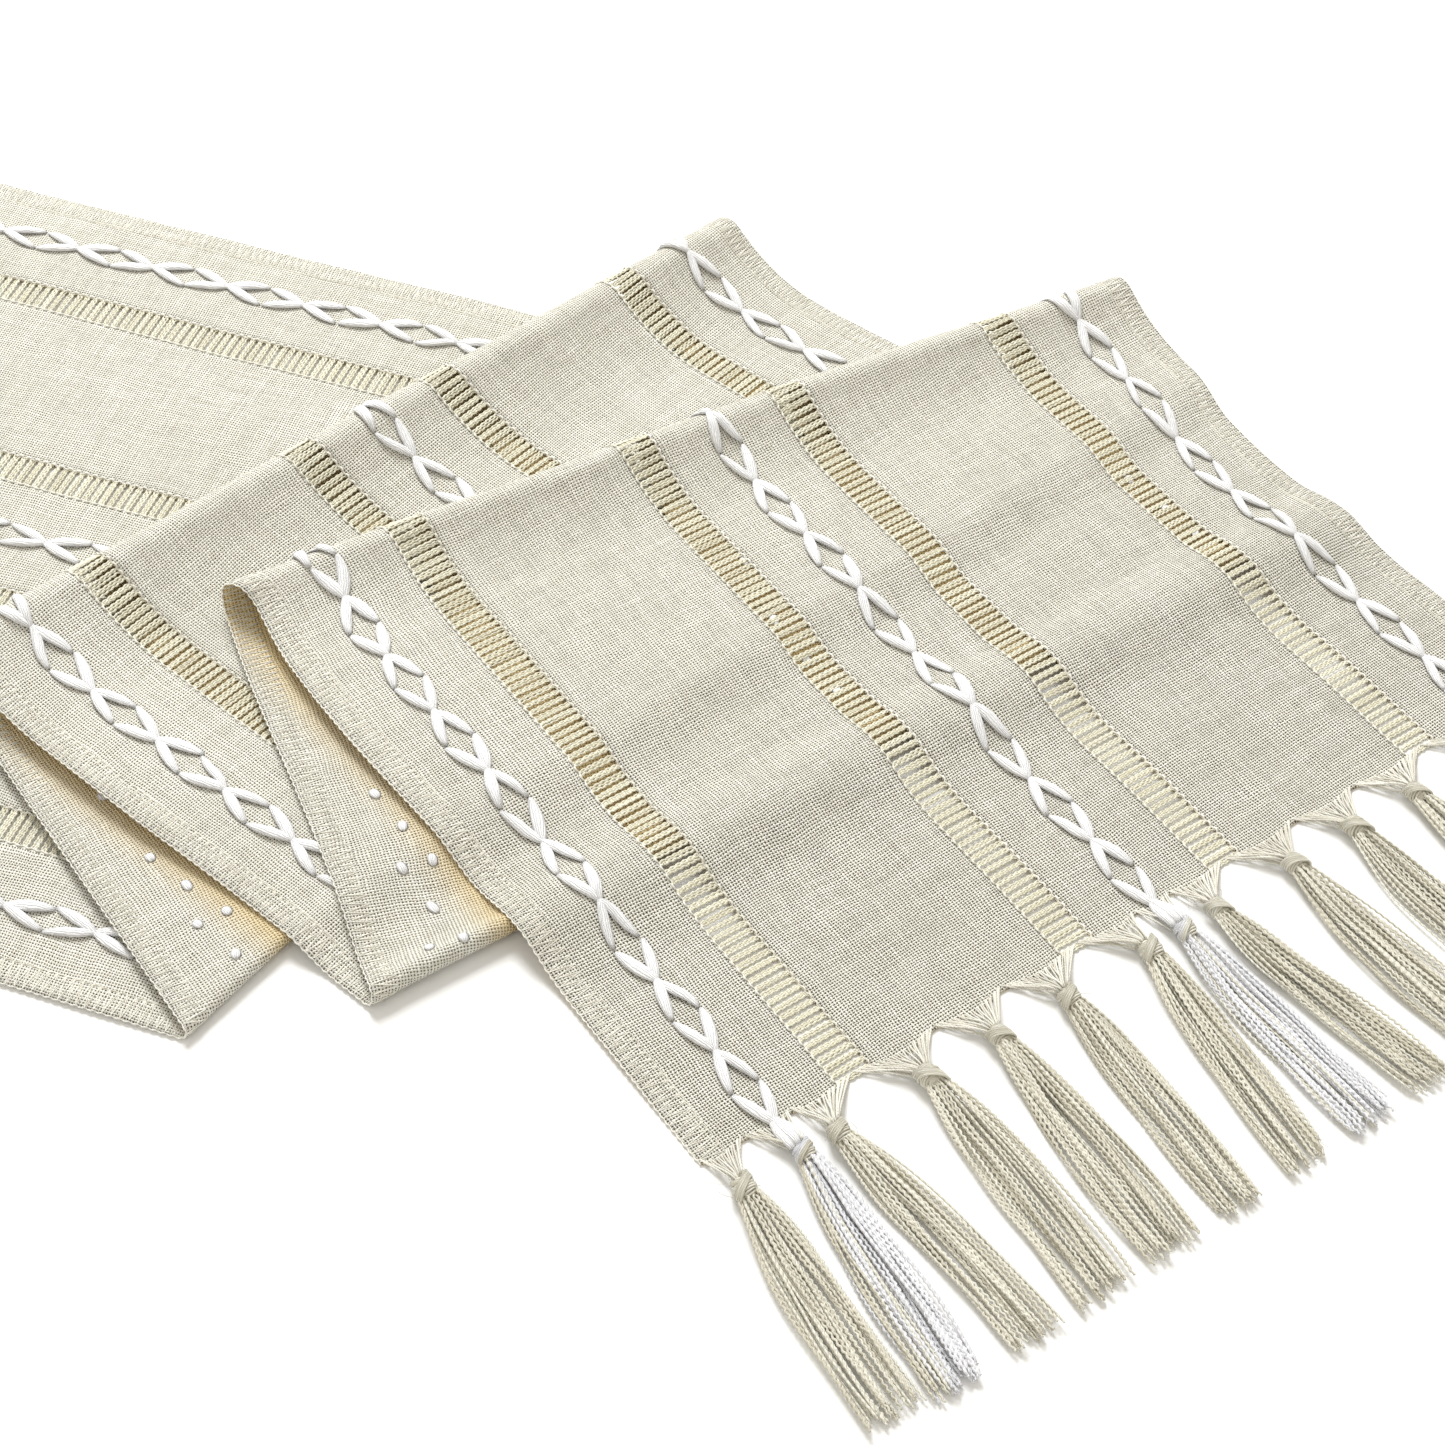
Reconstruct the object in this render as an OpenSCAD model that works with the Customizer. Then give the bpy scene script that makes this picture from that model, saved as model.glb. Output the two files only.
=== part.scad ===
// Woven table runner, loosely fan-folded at its front end, with openwork ladders,
// petal embroidery, stitched long edges and a knotted fringe at both ends.
// X runs across the cloth, the front fringe points to -Y, +Z is up, and the table top is z = 0.
// A point of the cloth is named by (u, v, n): u across the width, v along the length from the
// front knots, n above the middle of the cloth.

/* [Cloth] */
// Width of the cloth across both long edges, mm
cloth_width = 305; // [200:1:400]
// Length from the front row of knots to the rear row, mm
knot_to_knot = 1676; // [1200:1:2400]
// Thickness of the cloth, mm
cloth_thick = 0.6; // [0.4:0.05:0.8]
// Distance from a row of knots to the nearest weft thread, mm
fell_gap = 12; // [8:0.5:20]
// Width of the stitched band along each long edge, mm
edge_width = 8; // [4:0.5:12]
// Distance from the front knots to the middle of the resting face, mm
face_offset = 40; // [30:1:50]

/* [Openwork ladders] */
// Width of one ladder of drawn threads, mm
ladder_width = 10.7; // [6:0.1:14]
// Inner side of the two ladders beside the centre line, mm from the centre line
inner_ladder = 21.5; // [16:0.5:30]
// Inner side of the two ladders beside the borders, mm from the centre line
outer_ladder = 98; // [90:0.5:105]

/* [Embroidery] */
// Distance of the two border lines of petals from the centre line, mm
line_offset = 129.5; // [120:0.5:135]
// Length of one repeat of the petals, mm
petal_repeat = 27.7; // [20:0.1:36]
// Distance of the outer points of the petals from the middle of their line, mm
petal_reach = 4.5; // [3:0.1:6]
// Half width of a petal at its middle, mm
petal_half = 1.5; // [0.8:0.1:1.8]
// Height of a petal from its underside to its top, mm
petal_height = 0.8; // [0.4:0.1:1]
// Clearance between a petal and the cloth, mm
petal_gap = 0.2; // [0.15:0.05:0.3]

/* [Folds] */
// First crest: place of the fold line on the centre line, mm along the cloth
crest1_at = 238.4; // [230:0.1:245]
// First crest: angle of the fold line to the weft, degrees
crest1_angle = -7.8; // [-10:0.1:-5]
// First crest: radius of the loop, mm
crest1_radius = 5.5; // [4:0.1:8]
// First bottom fold: place of the fold line on the centre line, mm along the cloth
bottom1_at = 383.9; // [378:0.1:388]
// First bottom fold: angle of the fold line to the weft, degrees
bottom1_angle = -14.8; // [-16:0.1:-13]
// First bottom fold: radius of the loop, mm
bottom1_radius = 2.8; // [2.4:0.1:3.2]
// Second crest: place of the fold line on the centre line, mm along the cloth
crest2_at = 591.3; // [585:0.1:600]
// Second crest: angle of the fold line to the weft, degrees
crest2_angle = -7.1; // [-9:0.1:-5]
// Second crest: radius of the loop, mm
crest2_radius = 6.8; // [4:0.1:9]
// Second bottom fold: place of the fold line on the centre line, mm along the cloth
bottom2_at = 721.2; // [715:0.1:730]
// Second bottom fold: angle of the fold line to the weft, degrees
bottom2_angle = -18.2; // [-20:0.1:-16]
// Distance between layers whose wrong sides face each other, mm
wrong_side_gap = 1; // [0.9:0.05:1.4]
// Distance between layers whose petals face each other, mm
right_side_gap = 2.8; // [2.6:0.05:3.2]
// Distance between the two lowest layers at the rear, mm
lowest_gap = 3.6; // [3.2:0.05:4]

/* [Fringe] */
// Number of tassels in one row
tassel_count = 15; // [15:1:15]
// Radius of a tassel knot, mm
knot_radius = 4; // [3:0.1:4.2]
// Length of a tassel from its knot to its tips, mm
tassel_length = 77; // [40:1:90]
// Width of a tassel at its tips, mm
tip_width = 17; // [8:0.5:18]
// Thickness of the strands lying on the table, mm
skirt_thick = 3.5; // [2:0.1:4]
// Distance between the tips of neighbouring tassels, mm
tip_pitch = 22.8; // [20:0.1:24]

/* [Hidden] */
linen = [0.87, 0.83, 0.73];
pale_linen = [0.91, 0.88, 0.80];
white_yarn = [0.96, 0.96, 0.95];
half_thick = cloth_thick / 2;
edge_u = cloth_width / 2;
stitch_u = edge_u - edge_width;
first_weft = fell_gap;
last_weft = knot_to_knot - fell_gap;

// A fold is [place, angle, loop radius, distance between its layers, lift angle, side].
// Side -1 folds the wrong sides together, side 1 folds the right sides together.
crest1 = [crest1_at, crest1_angle, crest1_radius, wrong_side_gap, 35, -1];
bottom1 = [bottom1_at, bottom1_angle, bottom1_radius, right_side_gap, 30, 1];
crest2 = [crest2_at, crest2_angle, crest2_radius, wrong_side_gap, 35, -1];
bottom2 = [bottom2_at, bottom2_angle, lowest_gap / 2, lowest_gap, 0, 1];

// Each fold starts with a gentle lift, then turns back round its loop.
function lift_radius(f) = f[4] == 0 ? 0 : (2 * f[2] - f[3]) / (1 - cos(f[4])) - f[2];
function lift_length(f) = lift_radius(f) * f[4] * PI / 180;
function loop_length(f) = f[2] * (180 + f[4]) * PI / 180;
function fold_length(f) = lift_length(f) + loop_length(f);
function fold_start(f) = -(fold_length(f) + (lift_radius(f) + f[2]) * sin(f[4])) / 2;
function past_fold(p, f) = (p[1] - f[0]) * cos(f[1]) - p[0] * sin(f[1]);
function beside_fold(p, f) = p[0] * cos(f[1]) + (p[1] - f[0]) * sin(f[1]);

// Moves point p, whose place on the flat cloth is m, round fold f.
function folded(p, m, f) =
    let (s = past_fold(m, f) - fold_start(f))
    s <= 0 ? p :
    let (
        a = lift_radius(f) == 0 ? 0 : min(s / lift_radius(f) * 180 / PI, f[4]),
        b = max(0, min((s - lift_length(f)) / f[2] * 180 / PI, 180 + f[4])),
        heading = f[5] * (b - a),
        rest = s > fold_length(f) ? past_fold(p, f) - fold_start(f) - fold_length(f) : 0,
        run = lift_radius(f) * sin(a) + f[2] * (sin(b - f[4]) + sin(f[4])),
        climb = lift_radius(f) * (1 - cos(a)) + f[2] * (cos(f[4] - b) - cos(f[4])),
        d = fold_start(f) + run - p[2] * sin(heading) + rest * cos(heading),
        z = -f[5] * climb + p[2] * cos(heading) + rest * sin(heading),
        w = beside_fold(p, f)
    )
    [w * cos(f[1]) - d * sin(f[1]), f[0] + w * sin(f[1]) + d * cos(f[1]), z];

// Mirror image of a flat point in the line of fold f.
function mirrored(p, f) =
    let (d = past_fold(p, f))
    [p[0] + 2 * d * sin(f[1]), p[1] - 2 * d * cos(f[1])];

// Height of the middle of each layer above the table, in front of the rear rise.
flat_height = half_thick;
layer3_height = flat_height;
layer2_height = layer3_height + right_side_gap;
layer1_height = layer2_height + wrong_side_gap;
layer5_height = layer3_height - wrong_side_gap - lowest_gap;

// The upper three layers rise behind the first bottom fold to lie over the lower two.
rise_height = flat_height - layer5_height;
rise_angle = 5;
rise_near = [-205, 116];
rise_depth = 20;
rise_run = rise_depth * cos(rise_angle);
function ease(x) = let (c = min(1, max(0, x))) c * c * (3 - 2 * c);
function past_rise(p) =
    (p[1] - rise_near[1]) * cos(rise_angle) - (p[0] - rise_near[0]) * sin(rise_angle);
function rear_rise(p, m) =
    past_fold(m, crest2) > -60 ? rise_height : rise_height * ease(past_rise(p) / rise_run);

// The first layer lies on the table in front and humps over the loop of the first bottom fold.
hump_a = mirrored([0, bottom1_at], crest1);
hump_b = mirrored([100, bottom1_at + 100 * tan(bottom1_angle)], crest1);
hump_slope = (hump_b[1] - hump_a[1]) / (hump_b[0] - hump_a[0]);
hump_angle = atan(hump_slope);
function past_hump(p) = (p[1] - hump_a[1]) * cos(hump_angle) - (p[0] - hump_a[0]) * sin(hump_angle);
function front_drop(p, m) =
    past_fold(m, crest1) > 0 ? 0 :
    let (s = past_hump(p))
    (flat_height - layer1_height) * (1 - ease((s + 28) / 26))
    + right_side_gap * ease((s + 16) / 16) * (1 - ease((s - 3) / 16));

// Place in the room of cloth point (u, v) at height n above the middle of the cloth.
function cloth_point(u, v, n) =
    let (
        m = [u, v],
        a = folded([u, v, n], m, bottom2),
        b = folded(a, m, crest2),
        c = folded(b, m, bottom1),
        p = folded(c, m, crest1)
    )
    [p[0], p[1] - face_offset, p[2] + layer1_height + rear_rise(p, m) + front_drop(p, m)];

// A ring is [v on the centre line, slope]: one straight line of the cloth.
function ring_v(ring, u) = ring[0] + u * ring[1];
function fold_ring(f, s) = [f[0] + (fold_start(f) + s) / cos(f[1]), tan(f[1])];
function fold_rings(f, lifts, turns) = concat(
    f[4] == 0 ? [] : [for (i = [0 : lifts - 1]) fold_ring(f, lift_length(f) * i / lifts)],
    [for (i = [0 : turns]) fold_ring(f, lift_length(f) + loop_length(f) * i / turns)]
);
function line_through(a, b) =
    let (k = (b[1] - a[1]) / (b[0] - a[0]))
    [a[1] - k * a[0], k];
function hump_ring(s) = [hump_a[1] - hump_a[0] * hump_slope + s / cos(hump_angle), hump_slope];
function rise_point(t, x) =
    [x, rise_near[1] + t * rise_depth + (x - rise_near[0]) * tan(rise_angle)];
function rise_ring1(t) = line_through(rise_point(t, 0), rise_point(t, 100));
function rise_ring2(t) =
    line_through(mirrored(rise_point(t, 0), crest1), mirrored(rise_point(t, 100), crest1));
function rise_ring3(t) = line_through(
    mirrored(mirrored(rise_point(t, 0), crest1), bottom1),
    mirrored(mirrored(rise_point(t, 100), crest1), bottom1)
);
rise_steps = 5;
rings = concat(
    [[first_weft, 0]],
    [for (i = [0 : 10]) hump_ring(-28 + 4.7 * i)],
    [for (i = [0 : rise_steps]) rise_ring1(i / rise_steps)],
    fold_rings(crest1, 4, 10),
    [for (i = [rise_steps : -1 : 0]) rise_ring2(i / rise_steps)],
    fold_rings(bottom1, 3, 9),
    [for (i = [0 : rise_steps]) rise_ring3(i / rise_steps)],
    fold_rings(crest2, 4, 10),
    fold_rings(bottom2, 0, 8),
    [[(bottom2_at + last_weft) / 2, 0], [last_weft, 0]]
);

// Faces of a closed bar made of rings with m corners each.
function bar_faces(count, m) = concat(
    [[for (j = [0 : m - 1]) j]],
    [for (i = [0 : count - 2]) for (j = [0 : m - 1])
        [i * m + j, (i + 1) * m + j, (i + 1) * m + (j + 1) % m]],
    [for (i = [0 : count - 2]) for (j = [0 : m - 1])
        [i * m + j, (i + 1) * m + (j + 1) % m, i * m + (j + 1) % m]],
    [[for (j = [m - 1 : -1 : 0]) (count - 1) * m + j]]
);

// A lengthwise strip of cloth between u0 and u1.
module strip(u0, u1) {
    points = [for (r = rings) each [
        cloth_point(u0, ring_v(r, u0), half_thick),
        cloth_point(u1, ring_v(r, u1), half_thick),
        cloth_point(u1, ring_v(r, u1), -half_thick),
        cloth_point(u0, ring_v(r, u0), -half_thick)
    ]];
    polyhedron(points, bar_faces(len(rings), 4));
}

// Number of short steps a quarter of a petal repeat needs at cloth point (u, v).
function near_fold(m, f) =
    let (s = past_fold(m, f) - fold_start(f))
    s > -8 && s < fold_length(f) + 2;
function near_hump(m) = past_fold(m, crest1) < 0 && abs(past_hump(m) + 4) < 28;
function near_rise(m) =
    let (a = past_rise(m), b = past_rise(mirrored(m, crest1)),
         c = past_rise(mirrored(mirrored(m, bottom1), crest1)))
    min(abs(a - 10), abs(b - 10), abs(c - 10)) < 18;
function quarter_steps(m) =
    near_fold(m, crest1) || near_fold(m, bottom1) || near_fold(m, crest2)
    || near_fold(m, bottom2) ? 6 :
    near_hump(m) || near_rise(m) ? 3 : 1;

// One yarn of an embroidered line: petals that run out from the line and back to it.
// Side is -1 for the yarn left of the line and 1 for the yarn right of it.
quarter = petal_repeat / 4;
quarter_count = floor((last_weft - first_weft) / quarter);
function swing(v) = 1 - abs(2 * ((v - first_weft) / petal_repeat % 1) - 1);
module yarn(line_u, side) {
    stops = concat(
        [for (k = [0 : quarter_count - 1])
            let (v = first_weft + k * quarter, steps = quarter_steps([line_u, v + quarter / 2]))
            for (j = [0 : steps - 1]) v + quarter * j / steps],
        [first_weft + quarter_count * quarter]
    );
    lift = half_thick + petal_gap;
    points = [for (v = stops)
        let (
            s = swing(v),
            plump = 4 * s * (1 - s),
            middle = 0.45 + (petal_reach - 0.45) * s,
            half = 0.3 + (petal_half - 0.3) * plump,
            inner = line_u + side * (middle - half),
            outer = line_u + side * (middle + half),
            top = lift + petal_height * (0.4 + 0.6 * plump)
        )
        each [
            cloth_point(min(inner, outer), v, lift),
            cloth_point(line_u + side * middle, v, top),
            cloth_point(max(inner, outer), v, lift)
        ]];
    polyhedron(points, bar_faces(len(stops), 3));
}

// Places of the knots: three at each embroidered line and three at each plain panel.
panel_middle = line_offset / 2;
panel_pitch = 23.5;
line_pitch = 12.5;
inward_pitch = 11;
outward_pitch = 19;
function knot_u(i) =
    let (group = floor(i / 3), k = i % 3 - 1)
    group == 2 ? line_pitch * k :
    group == 1 ? -panel_middle + panel_pitch * k :
    group == 3 ? panel_middle + panel_pitch * k :
    group == 0 ? -line_offset + (k < 0 ? outward_pitch : inward_pitch) * k :
    line_offset + (k < 0 ? inward_pitch : outward_pitch) * k;
function tip_u(i) = (i - (tassel_count - 1) / 2) * tip_pitch;

// Warp threads drawn together from the last weft to each knot, as one toothed web.
module gathers(side) {
    tooth_tip = knot_radius + 0.5;
    teeth = [for (i = [0 : tassel_count - 1])
        let (
            before = i == 0 ? -edge_u : (knot_u(i - 1) + knot_u(i)) / 2 + 0.2,
            after = i == tassel_count - 1 ? edge_u : (knot_u(i) + knot_u(i + 1)) / 2 - 0.2
        )
        each [
            [before, fell_gap - 2],
            [knot_u(i) - 1.5, tooth_tip],
            [knot_u(i) + 1.5, tooth_tip],
            [after, fell_gap - 2]
        ]];
    outline = concat([[-edge_u, fell_gap]], teeth, [[edge_u, fell_gap]]);
    linear_extrude(cloth_thick) polygon([for (p = outline) [p[0], side * p[1]]]);
}

// A tassel with its knot over the origin and its strands lying towards -Y.
module tassel(lean) {
    translate([0, 0, knot_radius]) sphere(knot_radius, $fn = 48);
    linear_extrude(skirt_thick)
        polygon([
            [-2.5, -knot_radius * 0.6],
            [2.5, -knot_radius * 0.6],
            [lean + tip_width / 2, -tassel_length],
            [lean - tip_width / 2, -tassel_length]
        ]);
}

// The rear fringe stands on the turned end of the lowest layer.
rear_middle = cloth_point(0, knot_to_knot, 0);
rear_side = cloth_point(100, knot_to_knot, 0);
rear_turn = atan2(rear_side[1] - rear_middle[1], rear_side[0] - rear_middle[0]);
module at_front() {
    translate([0, -face_offset, 0]) children();
}
module at_rear() {
    translate([rear_middle[0], rear_middle[1], 0]) rotate(rear_turn) children();
}
module front_tassel(i) {
    color(i % 3 == 1 && i != 4 && i != 10 ? white_yarn : pale_linen)
        at_front() translate([knot_u(i), 0, 0]) tassel(tip_u(i) - knot_u(i));
}
module rear_tassel(i) {
    color(i % 3 == 1 && i != 4 && i != 10 ? white_yarn : pale_linen)
        at_rear() translate([knot_u(i), 0, 0]) rotate(180) tassel(knot_u(i) - tip_u(i));
}

// Overcast stitching along the left long edge.
module left_edge_stitch() {
    color(pale_linen) strip(-edge_u, -stitch_u);
}
// Woven border on the left.
module left_border() {
    color(linen) strip(-stitch_u, -outer_ladder - ladder_width);
}
// Openwork ladder between the left border and the left panel.
module left_outer_ladder() {
    color(pale_linen) strip(-outer_ladder - ladder_width, -outer_ladder);
}
// Woven panel left of the middle.
module left_panel() {
    color(linen) strip(-outer_ladder, -inner_ladder - ladder_width);
}
// Openwork ladder left of the middle.
module left_inner_ladder() {
    color(pale_linen) strip(-inner_ladder - ladder_width, -inner_ladder);
}
// Woven panel along the middle.
module centre_panel() {
    color(linen) strip(-inner_ladder, inner_ladder);
}
// Openwork ladder right of the middle.
module right_inner_ladder() {
    color(pale_linen) strip(inner_ladder, inner_ladder + ladder_width);
}
// Woven panel right of the middle.
module right_panel() {
    color(linen) strip(inner_ladder + ladder_width, outer_ladder);
}
// Openwork ladder between the right panel and the right border.
module right_outer_ladder() {
    color(pale_linen) strip(outer_ladder, outer_ladder + ladder_width);
}
// Woven border on the right.
module right_border() {
    color(linen) strip(outer_ladder + ladder_width, stitch_u);
}
// Overcast stitching along the right long edge.
module right_edge_stitch() {
    color(pale_linen) strip(stitch_u, edge_u);
}
// Left yarn of the left line of petals.
module left_petal_yarn_a() {
    color(white_yarn) yarn(-line_offset, -1);
}
// Right yarn of the left line of petals.
module left_petal_yarn_b() {
    color(white_yarn) yarn(-line_offset, 1);
}
// Left yarn of the middle line of petals.
module middle_petal_yarn_a() {
    color(white_yarn) yarn(0, -1);
}
// Right yarn of the middle line of petals.
module middle_petal_yarn_b() {
    color(white_yarn) yarn(0, 1);
}
// Left yarn of the right line of petals.
module right_petal_yarn_a() {
    color(white_yarn) yarn(line_offset, -1);
}
// Right yarn of the right line of petals.
module right_petal_yarn_b() {
    color(white_yarn) yarn(line_offset, 1);
}
// Gathered warp threads at the front end.
module front_gathers() {
    color(pale_linen) at_front() gathers(1);
}
// Gathered warp threads at the rear end.
module rear_gathers() {
    color(pale_linen) at_rear() gathers(-1);
}
// Tassels of the front fringe, numbered from the left long edge.
module front_tassel_01() {
    front_tassel(0);
}
module front_tassel_02() {
    front_tassel(1);
}
module front_tassel_03() {
    front_tassel(2);
}
module front_tassel_04() {
    front_tassel(3);
}
module front_tassel_05() {
    front_tassel(4);
}
module front_tassel_06() {
    front_tassel(5);
}
module front_tassel_07() {
    front_tassel(6);
}
module front_tassel_08() {
    front_tassel(7);
}
module front_tassel_09() {
    front_tassel(8);
}
module front_tassel_10() {
    front_tassel(9);
}
module front_tassel_11() {
    front_tassel(10);
}
module front_tassel_12() {
    front_tassel(11);
}
module front_tassel_13() {
    front_tassel(12);
}
module front_tassel_14() {
    front_tassel(13);
}
module front_tassel_15() {
    front_tassel(14);
}
// Tassels of the rear fringe, numbered from the left long edge.
module rear_tassel_01() {
    rear_tassel(0);
}
module rear_tassel_02() {
    rear_tassel(1);
}
module rear_tassel_03() {
    rear_tassel(2);
}
module rear_tassel_04() {
    rear_tassel(3);
}
module rear_tassel_05() {
    rear_tassel(4);
}
module rear_tassel_06() {
    rear_tassel(5);
}
module rear_tassel_07() {
    rear_tassel(6);
}
module rear_tassel_08() {
    rear_tassel(7);
}
module rear_tassel_09() {
    rear_tassel(8);
}
module rear_tassel_10() {
    rear_tassel(9);
}
module rear_tassel_11() {
    rear_tassel(10);
}
module rear_tassel_12() {
    rear_tassel(11);
}
module rear_tassel_13() {
    rear_tassel(12);
}
module rear_tassel_14() {
    rear_tassel(13);
}
module rear_tassel_15() {
    rear_tassel(14);
}

left_edge_stitch();
left_border();
left_outer_ladder();
left_panel();
left_inner_ladder();
centre_panel();
right_inner_ladder();
right_panel();
right_outer_ladder();
right_border();
right_edge_stitch();
left_petal_yarn_a();
left_petal_yarn_b();
middle_petal_yarn_a();
middle_petal_yarn_b();
right_petal_yarn_a();
right_petal_yarn_b();
front_gathers();
rear_gathers();
front_tassel_01();
front_tassel_02();
front_tassel_03();
front_tassel_04();
front_tassel_05();
front_tassel_06();
front_tassel_07();
front_tassel_08();
front_tassel_09();
front_tassel_10();
front_tassel_11();
front_tassel_12();
front_tassel_13();
front_tassel_14();
front_tassel_15();
rear_tassel_01();
rear_tassel_02();
rear_tassel_03();
rear_tassel_04();
rear_tassel_05();
rear_tassel_06();
rear_tassel_07();
rear_tassel_08();
rear_tassel_09();
rear_tassel_10();
rear_tassel_11();
rear_tassel_12();
rear_tassel_13();
rear_tassel_14();
rear_tassel_15();
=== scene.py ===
import math

import bpy
import numpy as np
from mathutils import Matrix


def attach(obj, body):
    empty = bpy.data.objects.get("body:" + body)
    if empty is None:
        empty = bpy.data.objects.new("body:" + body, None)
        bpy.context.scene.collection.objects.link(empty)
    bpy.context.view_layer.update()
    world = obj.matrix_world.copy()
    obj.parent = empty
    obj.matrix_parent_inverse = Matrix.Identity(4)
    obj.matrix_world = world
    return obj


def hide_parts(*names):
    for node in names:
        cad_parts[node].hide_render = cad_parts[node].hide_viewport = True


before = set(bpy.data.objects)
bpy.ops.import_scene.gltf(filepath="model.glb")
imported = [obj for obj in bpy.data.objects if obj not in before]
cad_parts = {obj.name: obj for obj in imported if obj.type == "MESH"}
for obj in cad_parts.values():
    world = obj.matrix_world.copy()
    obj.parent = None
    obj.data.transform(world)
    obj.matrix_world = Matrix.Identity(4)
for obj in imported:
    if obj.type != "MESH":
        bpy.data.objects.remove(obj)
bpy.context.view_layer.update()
MM = 0.001

# ---------------------------------------------------------------- camera
AZIMUTH, ELEVATION, ROLL = math.radians(-36.88), math.radians(48.16), math.radians(2.45)
CAMERA_AT = (-0.3996, -0.3574, 0.6314)


def camera_matrix():
    """The camera's place and its three axes, from the angles above."""
    look = np.array([
        -math.sin(AZIMUTH) * math.cos(ELEVATION),
        math.cos(AZIMUTH) * math.cos(ELEVATION),
        -math.sin(ELEVATION),
    ])
    level = np.array([math.cos(AZIMUTH), math.sin(AZIMUTH), 0.0])
    above = np.cross(level, look)
    right = math.cos(ROLL) * level + math.sin(ROLL) * above
    up = -math.sin(ROLL) * level + math.cos(ROLL) * above
    rows = np.eye(4)
    rows[:3, 0], rows[:3, 1], rows[:3, 2], rows[:3, 3] = right, up, -look, CAMERA_AT
    return Matrix(rows.tolist())


camera_data = bpy.data.cameras.new("camera")
camera_data.sensor_width = 36.0
camera_data.lens = 72.38
camera = bpy.data.objects.new("camera", camera_data)
bpy.context.scene.collection.objects.link(camera)
camera.matrix_world = camera_matrix()
bpy.context.scene.camera = camera

# ---------------------------------------------------------------- the cloth's shape, in millimetres
# u runs across the flat cloth from its middle line, v along it from the front knots, n up from its middle
WIDTH, LENGTH, THICK = 305.0, 1676.0, 0.6
HALF = THICK / 2
EDGE = WIDTH / 2
EDGE_BAND = 8.0
FELL = 12.0  # from the knots to the last weft, at both ends
LAST = LENGTH - FELL
FACE_OFFSET = 40.0  # from the front knots to the origin
LADDER = 10.7  # width of a ladder
INNER, OUTER = 21.5, 98.0  # where the ladders' inner sides lie
LINE_U = 129.5  # where the outer lines of embroidery lie
REPEAT = 27.7  # from crossing to crossing of the embroidery
REACH = 4.5  # from a line to its petals' outer points
# gaps between layers: with wrong sides together, with right sides together, and above the lowest layer
WRONG_GAP, RIGHT_GAP, LOWEST_GAP = 1.0, 2.8, 3.6

# each fold: place, angle, loop radius, distance between layers, lift angle, side
CREST1 = (238.4, math.radians(-7.8), 5.5, WRONG_GAP, math.radians(35), -1)
BOTTOM1 = (383.9, math.radians(-14.8), 2.8, RIGHT_GAP, math.radians(30), 1)
CREST2 = (591.3, math.radians(-7.1), 6.8, WRONG_GAP, math.radians(35), -1)
BOTTOM2 = (721.2, math.radians(-18.2), LOWEST_GAP / 2, LOWEST_GAP, 0.0, 1)

LAYER1 = HALF + RIGHT_GAP + WRONG_GAP
RISE = WRONG_GAP + LOWEST_GAP


def ease(x):
    """A smooth step from 0 to 1."""
    c = np.clip(x, 0.0, 1.0)
    return c * c * (3 - 2 * c)


def ramp(x, start, length):
    """0 up to start, rising smoothly to 1 over the length."""
    return ease((x - start) / length)


def bell(x, middle, width):
    """1 at the middle, fading out on both sides."""
    return np.exp(-(((x - middle) / width) ** 2))


def past(x, y, fold):
    """How far (x, y) lies beyond a fold's line."""
    return (y - fold[0]) * math.cos(fold[1]) - x * math.sin(fold[1])


def fold_sizes(fold):
    """Radius of the lift, length of cloth in the fold, and where it starts before the fold's line."""
    _, _, r, gap, lift, _ = fold
    lift_r = (2 * r - gap) / (1 - math.cos(lift)) - r if lift else 0.0
    length = lift_r * lift + r * (math.pi + lift)
    start = -(length + (lift_r + r) * math.sin(lift)) / 2
    return lift_r, length, start


def folded(p, u, v, fold):
    """Moves the points p, whose places on the flat cloth are u and v, round one fold."""
    place, angle, r, _, lift, side = fold
    lift_r, length, start = fold_sizes(fold)
    x, y, z = p
    s = past(u, v, fold) - start
    a = np.clip(s / lift_r, 0, lift) if lift else np.zeros_like(s)
    b = np.clip((s - lift_r * lift) / r, 0, math.pi + lift)
    heading = side * (b - a)
    rest = np.where(s > length, past(x, y, fold) - start - length, 0.0)
    run = lift_r * np.sin(a) + r * (np.sin(b - lift) + math.sin(lift))
    climb = lift_r * (1 - np.cos(a)) + r * (np.cos(lift - b) - math.cos(lift))
    d = start + run - z * np.sin(heading) + rest * np.cos(heading)
    up = -side * climb + z * np.cos(heading) + rest * np.sin(heading)
    w = x * math.cos(angle) + (y - place) * math.sin(angle)
    moved = (
        w * math.cos(angle) - d * math.sin(angle),
        place + w * math.sin(angle) + d * math.cos(angle),
        up,
    )
    return tuple(np.where(s > 0, m, q) for m, q in zip(moved, p))


def mirrored(x, y, fold):
    """Where (x, y) lands when the cloth is turned over at a fold's line."""
    d = past(x, y, fold)
    return x + 2 * d * math.sin(fold[1]), y - 2 * d * math.cos(fold[1])


# the first layer lies on the table in front and humps over the loop of the first bottom fold
HUMP_A = mirrored(0.0, BOTTOM1[0], CREST1)
HUMP_B = mirrored(100.0, BOTTOM1[0] + 100 * math.tan(BOTTOM1[1]), CREST1)
HUMP_ANGLE = math.atan2(HUMP_B[1] - HUMP_A[1], HUMP_B[0] - HUMP_A[0])
if abs(HUMP_ANGLE) > math.pi / 2:
    HUMP_ANGLE -= math.copysign(math.pi, HUMP_ANGLE)
TO_TABLE, HUMP_UP, HUMP_DOWN = (-28, 26), (-16, 16), (3, 16)  # start and length of each slope

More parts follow.
